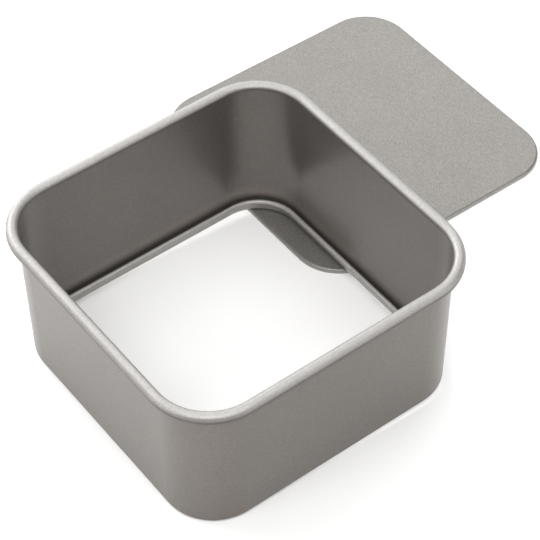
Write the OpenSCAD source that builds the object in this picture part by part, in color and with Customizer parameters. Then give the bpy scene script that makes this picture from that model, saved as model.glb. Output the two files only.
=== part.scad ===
// Square deep cake pan with a loose base.
//
// The pan is one pressed sheet: a leaning wall with a hollow rolled rim at the top.
// At the foot the sheet folds inwards and stands up again as a lip round the open
// bottom, with a slot between the lip and the wall, and the lip ends in a small curl.
// The loose base drops in from above: its flat sits on the curl and its turned-down
// edge hangs in the slot.
// Here the base lies on the table with its near corner under the pan, so the pan
// stands very slightly tilted: one side on the table, the other on the base.
//
// Millimetres. Z is up and the table is at Z = 0. The origin is on the table, at the
// middle of the box round the pan and the base together.

/* [Pan] */

// Width between the walls, at the rim
inside_w = 152; // [130:1:260]
// Height of the pan over its rolled rim
pan_h = 81; // [50:1:110]
// Thickness of the sheet
sheet_t = 0.8; // [0.6:0.05:1]
// Inside radius of the upright corners, at the rim
corner_r = 25.5; // [20:0.5:40]
// Lean of the walls away from upright, in degrees
wall_lean = 0.8; // [0:0.1:2.5]

/* [Rolled rim] */

// Outside radius of the roll
rim_r = 2.85; // [2.2:0.05:4]
// Gap between the free edge of the roll and the wall
rim_gap = 0.25; // [0.1:0.05:0.5]

/* [Lip and curl] */

// Height of the lip over the curl that carries the base
lip_h = 7.2; // [5:0.1:12]
// Outside radius of the curl
curl_r = 1.3; // [1.1:0.05:1.6]
// Gap between the free edge of the curl and the lip
curl_gap = 0.2; // [0.1:0.05:0.4]

/* [Loose base] */

// Gap between the base's turned-down edge and the lip
lip_gap = 0.2; // [0.1:0.05:0.4]
// Gap between the base's turned-down edge and the wall
wall_gap = 0.4; // [0.2:0.05:0.8]
// Height of the base over its turned-down edge
base_h = 2.2; // [1.8:0.1:3.5]
// Outside radius of the base's turned-down edge
base_edge_r = 1.2; // [1.1:0.1:1.6]

/* [Arrangement] */

// How far the base reaches in under the pan, from the middle of the pan's right foot
base_under = 13.5; // [5:0.5:40]
// Middle of the base from the middle of the pan, front to back
base_y = 81.5; // [0:0.5:120]
// Gap between the resting pan and the edge of the base
rest_gap = 0.02; // [0.01:0.01:0.1]

/* [Hidden] */

// Facets to a full turn: of the upright corners, and of the small bends and rolls.
corner_fn = 48;
bend_fn = 24;

// Width of the flat that is drawn with the base's turned-down edge. The rest of the flat
// ends in the middle of it.
base_lap = 2;
flat_in = base_edge_r + base_lap / 2;

// The slot takes the base's turned-down edge, with a gap on each side of it.
slot_w = sheet_t + lip_gap + wall_gap;
foot_r = sheet_t + slot_w / 2;

// The sheet's section is drawn round the centre of the fold with the wall upright,
// then leaned as a whole. Its inside face is the left side of the wall.
roll_x = slot_w / 2 + rim_r;
wall_l = (pan_h - foot_r - rim_r + roll_x * sin(wall_lean)) / cos(wall_lean);
curl_x = -slot_w / 2 - curl_r;
lip_l = (lip_h - curl_r - foot_r + curl_x * sin(wall_lean)) / cos(wall_lean);

// Centres of the fold and of the curl, outwards from the inside of the roll.
foot_u = rim_r - roll_x * cos(wall_lean) - wall_l * sin(wall_lean);
curl_u = foot_u + curl_x * cos(wall_lean) + lip_l * sin(wall_lean);

// Angles at which the two free edges stop, clear of the wall and of the lip.
rim_end = -acos((sheet_t + rim_gap - rim_r) / rim_r);
curl_end = -acos((curl_r - sheet_t - curl_gap) / curl_r);

// The base fits over the lip.
base_out = curl_u + curl_r + lip_gap + sheet_t;
base_w = inside_w + 2 * base_out;
base_r = corner_r + base_out;

// The pan tips about the centre line of its left fold until its underside touches
// the rounded near edge of the base.
foot_x = inside_w / 2 + foot_u;
base_x = foot_x - base_under + base_w / 2;
edge_x = base_x - base_w / 2 + base_edge_r;
edge_z = base_h - base_edge_r;
reach = foot_x + edge_x;
drop = foot_r - edge_z;
tilt = asin((foot_r + base_edge_r + rest_gap) / sqrt(reach * reach + drop * drop))
    - atan(drop / reach);

// Box round both pieces, which fixes where the pan's middle stands.
rim_x = inside_w / 2 + rim_r;
rim_z = pan_h - rim_r;
left_x = -foot_x - (rim_x - foot_x) * cos(tilt) - (rim_z - foot_r) * sin(tilt) - rim_r;
front_y = -rim_x - rim_r;
pan_x = -(left_x + base_x + base_w / 2) / 2;
pan_y = -(front_y + base_y + base_w / 2) / 2;

coat = [0.62, 0.61, 0.59];

// A ring of sheet.
module ring(r) {
    difference() {
        circle(r = r, $fn = bend_fn);
        circle(r = r - sheet_t, $fn = bend_fn);
    }
}

// A ring of sheet with the part from angle a to angle b cut away.
module open_ring(r, a, b) {
    far = 4 * r;
    mid = (a + b) / 2;
    difference() {
        ring(r);
        polygon([
            [0, 0],
            far * [cos(a), sin(a)],
            far * [cos(mid), sin(mid)],
            far * [cos(b), sin(b)]
        ]);
    }
}

// Section of the pan's sheet, drawn outwards from the inside of the roll.
module pan_section() {
    translate([foot_u, foot_r])
        rotate(-wall_lean) {
            // rolled rim
            translate([roll_x, wall_l])
                open_ring(rim_r, 180, 360 + rim_end);

            // wall
            translate([slot_w / 2, 0])
                square([sheet_t, wall_l]);

            // fold at the foot
            intersection() {
                ring(foot_r);
                translate([-foot_r, -foot_r])
                    square([2 * foot_r, foot_r]);
            }

            // lip
            translate([-foot_r, 0])
                square([sheet_t, lip_l]);

            // curl along the top of the lip
            translate([curl_x, lip_l])
                open_ring(curl_r, curl_end, 0);
        }
}

// Section of the base's turned-down edge, drawn inwards from its outside.
module base_section() {
    translate([-base_edge_r, base_h - base_edge_r])
        intersection() {
            ring(base_edge_r);
            square(base_edge_r);
        }

    // skirt below the bend
    translate([-sheet_t, 0])
        square([sheet_t, base_h - base_edge_r]);

    // lap that joins the flat of the base
    translate([-base_edge_r - base_lap, base_h - sheet_t])
        square([base_lap, sheet_t]);
}

// Carries a section round a rounded square: four straight runs and four corners.
module around(width, radius) {
    run = width - 2 * radius;
    for (side = [0:3]) {
        rotate([0, 0, 90 * side]) {
            translate([width / 2, run / 2, 0])
                rotate([90, 0, 0])
                    linear_extrude(height = run)
                        children();
            translate([run / 2, run / 2, 0])
                rotate_extrude(angle = 90, $fn = corner_fn)
                    translate([radius, 0])
                        children();
        }
    }
}

module rounded_square(width, radius) {
    run = width - 2 * radius;
    square([width, run], center = true);
    square([run, width], center = true);
    for (x = [-1, 1], y = [-1, 1])
        translate([x * run / 2, y * run / 2])
            circle(r = radius, $fn = corner_fn);
}

module pan_body() {
    color(coat)
        translate([pan_x - foot_x, pan_y, foot_r])
            rotate([0, -tilt, 0])
                translate([foot_x, 0, -foot_r])
                    around(inside_w, corner_r)
                        pan_section();
}

module base_plate() {
    color(coat)
        translate([pan_x + base_x, pan_y + base_y, 0]) {
            around(base_w, base_r)
                base_section();
            translate([0, 0, base_h - sheet_t])
                linear_extrude(height = sheet_t)
                    rounded_square(base_w - 2 * flat_in, base_r - flat_in);
        }
}

pan_body();
base_plate();
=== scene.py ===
# Square cake pan with a loose base: the grey coating, the table, the light and the camera.
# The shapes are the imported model's own and stay as they are.

import math

import bpy
from mathutils import Matrix, Vector

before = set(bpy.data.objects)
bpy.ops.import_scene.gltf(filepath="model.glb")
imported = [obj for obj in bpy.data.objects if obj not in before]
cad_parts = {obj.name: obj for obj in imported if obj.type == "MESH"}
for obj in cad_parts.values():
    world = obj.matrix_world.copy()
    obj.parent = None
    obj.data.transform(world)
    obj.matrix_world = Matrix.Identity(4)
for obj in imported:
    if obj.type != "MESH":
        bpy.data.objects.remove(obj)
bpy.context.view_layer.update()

mm = 0.001  # everything in the scene is in metres
scene = bpy.context.scene
print("frame loaded:", ", ".join(sorted(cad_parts)))


def toLinear(hexText):
    # "#rrggbb" -> linear colour with alpha 1
    parts = [int(hexText[i:i + 2], 16) / 255 for i in (1, 3, 5)]
    return [p / 12.92 if p <= 0.04045 else ((p + 0.055) / 1.055) ** 2.4 for p in parts] + [1.0]


def addNode(tree, kind, settings=None, inputs=None):
    # an input is a plain value, or another node's output to link from
    node = tree.nodes.new(kind)
    for name, value in (settings or {}).items():
        setattr(node, name, value)
    for name, value in (inputs or {}).items():
        if isinstance(value, bpy.types.NodeSocket):
            tree.links.new(value, node.inputs[name])
        else:
            node.inputs[name].default_value = value
    return node


def towards(azimuth, elevation):
    # unit vector from the object: azimuth from straight in front to the right, both in radians
    return Vector((math.sin(azimuth) * math.cos(elevation),
                   -math.cos(azimuth) * math.cos(elevation),
                   math.sin(elevation)))


panCoat = {
    "name": "greyNonStickCoatOnSteel",
    "node": "pan_body",
    "dark": "#5a5551",       # binder between the flakes
    "light": "#827c77",      # a flake that faces the light
    "flakeSize": 0.45,       # mm
    "flakeContrast": 0.32,
    "cloudSize": 30,         # mm, slow drift in the spray
    "peelSize": 1.6,         # mm, soft orange peel
    "peelDepth": 0.004,      # mm
    "metallic": 0.5,
    "roughness": 0.3,
    "topRoughness": 0.48,    # the top of the roll has so much flake that it is less smooth

    # the pan's own axes: the middle of its foot in m, and its lean on the base's edge
    "middle": (-0.063465, -0.037195, 0.001211),
    "lean": (0, math.radians(-0.9343), 0),
    "cornerAxis": 50.5,      # mm from the middle to the centre line of each upright corner
    "wallLean": 0.01396,     # mm outwards for each mm up

    # where each mask is 0 and where it is 1. slope: 1 on a face that looks up, 0 on an upright
    # one, -1 underneath. height: mm over the foot. ring: mm from the corner's centre line, and
    # wallRing: the same, less the wall's lean.
    "masks": {
        "faceUp": ("slope", 0.1, 0.8),
        "faceDown": ("slope", 0.3, -0.2),
        "insideWall": ("wallRing", 24.9, 24.7),
        "nearFoot": ("height", 17, 8),
        "behindLip": ("height", 7.6, 7.2),
        "lipHeight": ("height", 8.2, 7.5),
        "lipRing": ("ring", 24.0, 23.5),
        "rollHeight": ("height", 74.9, 75.3),
        "rollRing": ("wallRing", 25.1, 27.3),
    },
    # painted light and shade: red, green and blue shares of the plain coat's colour, each laid
    # over the ones before it
    "paintedLightAndShade": [
        (["insideWall"], (0.9, 0.9, 0.9)),                # painted shade: the whole inside wall a little darker
        (["nearFoot", "insideWall"], (1.3, 1.3, 1.3)),    # painted light: lighter low on the inside wall, evening out the shade near the foot
        (["behindLip", "insideWall"], (0.9, 0.9, 0.9)),   # painted shade in the slot behind the lip
        (["lipHeight", "lipRing"], (2.1, 2.2, 2.28)),     # painted light on the lip, for the light it catches from above and from the table
        (["faceDown", "rollHeight", "rollRing"], (0.4, 0.4, 0.4)),  # painted shade under the roll
        (["faceUp"], (2.3, 2.48, 2.62)),                  # painted highlight on faces that look up, most of all the top of the roll: silvery
    ],
}
baseCoat = {
    "name": "greyNonStickCoatOnFlatBase",
    "node": "base_plate",
    "dark": "#666461",
    "light": "#95928d",
    "flakeSize": 0.45,
    "flakeContrast": 0.46,
    "cloudSize": 40,
    "peelSize": 1.6,
    "peelDepth": 0.005,
    "metallic": 0.5,
    "roughness": 0.38,
    "masks": {"faceOut": ("slope", 0.8, 0.2)},
    "paintedLightAndShade": [(["faceOut"], (1.35, 1.35, 1.35))],  # painted highlight on its sides and underside, mostly the turned-down edge
}
spray = {
    "cloudRange": (0.3, 0.7),  # the noise seldom leaves this
    "cloudDrift": 0.03,        # share of the way from dark to light, up or down
    "cloudDetail": 3.0,
    "peelDetail": 2.0,
    "glossSpread": 0.04,       # roughness, less on a flake and more on the binder
}


def sprayedNonStick(look):
    # Grey non-stick with aluminium flake, sprayed on pressed steel and baked: a satin, slightly
    # metallic grey that sparkles in fine grains where the light comes straight back.
    mat = bpy.data.materials.new(look["name"])
    mat.use_nodes = True
    tree = mat.node_tree
    tree.nodes.clear()
    place = addNode(tree, "ShaderNodeTexCoord").outputs["Object"]

    # real flakes are about 0.05 mm across: they are drawn about ten times as coarse, to show
    flakes = addNode(tree, "ShaderNodeTexVoronoi", {"feature": "F1"},
                     {"Vector": place, "Scale": 1 / (look["flakeSize"] * mm)})
    flakeTone = addNode(tree, "ShaderNodeSeparateColor", None,
                        {"Color": flakes.outputs["Color"]}).outputs["Red"]
    flakeShare = addNode(tree, "ShaderNodeMapRange", None,
                         {"Value": flakeTone, "To Min": 0.5 - look["flakeContrast"] / 2,
                          "To Max": 0.5 + look["flakeContrast"] / 2}).outputs["Result"]
    clouds = addNode(tree, "ShaderNodeTexNoise", None,
                     {"Vector": place, "Scale": 1 / (look["cloudSize"] * mm),
                      "Detail": spray["cloudDetail"]})
    drift = addNode(tree, "ShaderNodeMapRange", None,
                    {"Value": clouds.outputs["Fac"],
                     "From Min": spray["cloudRange"][0], "From Max": spray["cloudRange"][1],
                     "To Min": -spray["cloudDrift"],
                     "To Max": spray["cloudDrift"]}).outputs["Result"]
    share = addNode(tree, "ShaderNodeMath", {"operation": "ADD", "use_clamp": True},
                    {0: flakeShare, 1: drift}).outputs["Value"]
    plain = addNode(tree, "ShaderNodeMix", {"data_type": "RGBA"},
                    {"Factor": share, 6: toLinear(look["dark"]),
                     7: toLinear(look["light"])}).outputs[2]

    # what the masks are measured by, with the unit of each
    normal = addNode(tree, "ShaderNodeNewGeometry").outputs["Normal"]
    slope = addNode(tree, "ShaderNodeSeparateXYZ", None, {0: normal}).outputs["Z"]
    measures = {"slope": (slope, 1)}
    if "cornerAxis" in look:
        own = addNode(tree, "ShaderNodeMapping", {"vector_type": "TEXTURE"},
                      {"Vector": place, "Location": look["middle"],
                       "Rotation": look["lean"]}).outputs["Vector"]
        height = addNode(tree, "ShaderNodeSeparateXYZ", None, {0: own}).outputs["Z"]
        # distance from the nearest straight line or corner's centre: the same all the way round
        axis = look["cornerAxis"] * mm
        steps = [("ABSOLUTE", {}),
                 ("SUBTRACT", {1: (axis, axis, 1.0)}),  # 1 m down, so that height never counts
                 ("MAXIMUM", {1: (0, 0, 0)})]
        reach = own
        for operation, other in steps:
            reach = addNode(tree, "ShaderNodeVectorMath", {"operation": operation},
                            {0: reach, **other}).outputs["Vector"]
        ring = addNode(tree, "ShaderNodeVectorMath", {"operation": "LENGTH"},
                       {0: reach}).outputs["Value"]
        wallRing = addNode(tree, "ShaderNodeMath", {"operation": "MULTIPLY_ADD"},
                           {0: height, 1: -look["wallLean"], 2: ring}).outputs["Value"]
        measures.update({"height": (height, mm), "ring": (ring, mm), "wallRing": (wallRing, mm)})

    masks = {}
    for maskName, (measure, zeroAt, oneAt) in look["masks"].items():
        value, unit = measures[measure]
        masks[maskName] = addNode(tree, "ShaderNodeMapRange", {"interpolation_type": "SMOOTHSTEP"},
                                  {"Value": value, "From Min": zeroAt * unit,
                                   "From Max": oneAt * unit}).outputs["Result"]
    # each entry paints light or shade into the coat's colour, where its masks meet
    shade = (1, 1, 1)
    for maskNames, tone in look["paintedLightAndShade"]:
        mask = masks[maskNames[0]]
        for maskName in maskNames[1:]:
            mask = addNode(tree, "ShaderNodeMath", {"operation": "MULTIPLY"},
                           {0: mask, 1: masks[maskName]}).outputs["Value"]
        shade = addNode(tree, "ShaderNodeMix", {"data_type": "VECTOR"},
                        {"Factor": mask, 4: shade, 5: tone}).outputs[1]
    tint = addNode(tree, "ShaderNodeVectorMath", {"operation": "MULTIPLY"},
                   {0: plain, 1: shade}).outputs["Vector"]

    gloss = addNode(tree, "ShaderNodeMapRange", None,
                    {"Value": share, "To Min": look["roughness"] + spray["glossSpread"],
                     "To Max": look["roughness"] - spray["glossSpread"]}).outputs["Result"]
    if "topRoughness" in look:
        gloss = addNode(tree, "ShaderNodeMix", None,
                        {"Factor": masks["faceUp"], 2: gloss,
                         3: look["topRoughness"]}).outputs[0]
    peel = addNode(tree, "ShaderNodeTexNoise", None,
                   {"Vector": place, "Scale": 1 / (look["peelSize"] * mm),
                    "Detail": spray["peelDetail"]})
    skin = addNode(tree, "ShaderNodeBump", None,
                   {"Height": peel.outputs["Fac"], "Distance": look["peelDepth"] * mm})
    shader = addNode(tree, "ShaderNodeBsdfPrincipled", None,
                     {"Base Color": tint, "Metallic": look["metallic"], "Roughness": gloss,
                      "Normal": skin.outputs["Normal"]})
    addNode(tree, "ShaderNodeOutputMaterial", None, {"Surface": shader.outputs["BSDF"]})
    return mat


for look in (panCoat, baseCoat):
    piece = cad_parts[look["node"]]
    coat = sprayedNonStick(look)
    for materialSlot in piece.material_slots:
        materialSlot.material = coat
    print("coated", piece.name)

table = {
    "size": 12.0,            # m across, so that its edge is never in view
    "colour": "#f4f4f3",
    "roughness": 0.8,
    "glow": "#ffffff",
    "glowFrom": 0.9,         # m from the middle: the board is lit up white further out,
    "glowTo": 1.8,           # where the lamps no longer reach
}
bpy.ops.mesh.primitive_plane_add(size=table["size"])
tableTop = bpy.context.object
tableTop.name = "tableTop"

# Matt white painted board: it has no gloss of its own, so the pan's shade on it stays soft.
tableMat = bpy.data.materials.new("mattWhiteBoard")
tableMat.use_nodes = True
tree = tableMat.node_tree
boardPlace = addNode(tree, "ShaderNodeTexCoord").outputs["Object"]
fromMiddle = addNode(tree, "ShaderNodeVectorMath", {"operation": "LENGTH"},
                     {0: boardPlace}).outputs["Value"]
glow = addNode(tree, "ShaderNodeMapRange", {"interpolation_type": "SMOOTHSTEP"},
               {"Value": fromMiddle, "From Min": table["glowFrom"],
                "From Max": table["glowTo"]}).outputs["Result"]
board = tree.nodes["Principled BSDF"]
board.inputs["Base Color"].default_value = toLinear(table["colour"])
board.inputs["Roughness"].default_value = table["roughness"]
board.inputs["Emission Color"].default_value = toLinear(table["glow"])
tree.links.new(glow, board.inputs["Emission Strength"])
tableTop.data.materials.append(tableMat)
print("table laid")

studio = {
    "boxDistance": 2.0,      # m, from the point that all the soft boxes face
    "boxAim": (0, 0, 0.04),  # m, that point
    "sky": "#ffffff",
    "skyAsLight": 0.05,      # dim as a light,
    "skySeen": 1.0,          # white where it is seen behind the table
    # azimuth from straight in front towards the right, elevation, width in m, watts
    "softBoxes": {
        "overhead": (1, 90, 3.2, 47),
        "highLeft": (-45, 57, 1.5, 15.3),
        "highFront": (0, 57, 1.5, 7.8),
        "left": (-90, 30, 1.0, 7.8),
        "behindLeft": (-150, 30, 1.0, 13),
        "behind": (180, 30, 1.0, 21.5),
        "behindRight": (150, 30, 1.0, 5.5),
        "right": (120, 30, 1.0, 6.4),
        "lowRight": (30, 12, 0.8, 6.2),
    },
}
for name, (azimuth, elevation, width, watts) in studio["softBoxes"].items():
    outwards = towards(math.radians(azimuth), math.radians(elevation))
    lamp = bpy.data.lights.new(name, "AREA")
    lamp.shape = "SQUARE"
    lamp.size = width
    lamp.energy = watts
    lampPiece = bpy.data.objects.new(name, lamp)
    lampPiece.location = outwards * studio["boxDistance"] + Vector(studio["boxAim"])
    lampPiece.rotation_euler = (-outwards).to_track_quat("-Z", "Y").to_euler()
    scene.collection.objects.link(lampPiece)

world = bpy.data.worlds.new("paleStudio")
world.use_nodes = True
tree = world.node_tree
isSeen = addNode(tree, "ShaderNodeLightPath").outputs["Is Camera Ray"]
skyStrength = addNode(tree, "ShaderNodeMapRange", None,
                      {"Value": isSeen, "To Min": studio["skyAsLight"],
                       "To Max": studio["skySeen"]}).outputs["Result"]
sky = tree.nodes["Background"]
sky.inputs["Color"].default_value = toLinear(studio["sky"])
tree.links.new(skyStrength, sky.inputs["Strength"])
scene.world = world
scene.view_settings.view_transform = "Standard"
print("lights up")

shot = {
    "azimuth": -37.671,      # degrees, from straight in front towards the left
    "elevation": 47.581,
    "roll": 0.550,
    "distance": 1024.1,      # mm, from the origin on the table along the view
    "focal": 2077.7,         # in widths of a pixel of the 540 x 540 picture
    "origin": (295.57, 249.30),  # where the origin falls in that picture
    "picture": 540,
    "sensor": 36,            # mm
    "clip": (0.05, 50),      # m
}
az, el, roll = (math.radians(shot[k]) for k in ("azimuth", "elevation", "roll"))
back = towards(az, el)
right = Vector((math.cos(az), math.sin(az), 0))
up = back.cross(right)
turnedRight = math.cos(roll) * right + math.sin(roll) * up
turnedUp = math.cos(roll) * up - math.sin(roll) * right
far = shot["distance"] * mm
half = shot["picture"] / 2
across, down = ((place - half) / shot["focal"] * far for place in shot["origin"])
at = back * far - turnedRight * across + turnedUp * down

lens = bpy.data.cameras.new("productCamera")
lens.sensor_width = shot["sensor"]
lens.lens = shot["focal"] / shot["picture"] * shot["sensor"]
lens.clip_start, lens.clip_end = shot["clip"]
camera = bpy.data.objects.new("productCamera", lens)
camera.matrix_world = Matrix((
    (turnedRight.x, turnedUp.x, back.x, at.x),
    (turnedRight.y, turnedUp.y, back.y, at.y),
    (turnedRight.z, turnedUp.z, back.z, at.z),
    (0, 0, 0, 1)))
scene.collection.objects.link(camera)
scene.camera = camera
print("camera aimed")
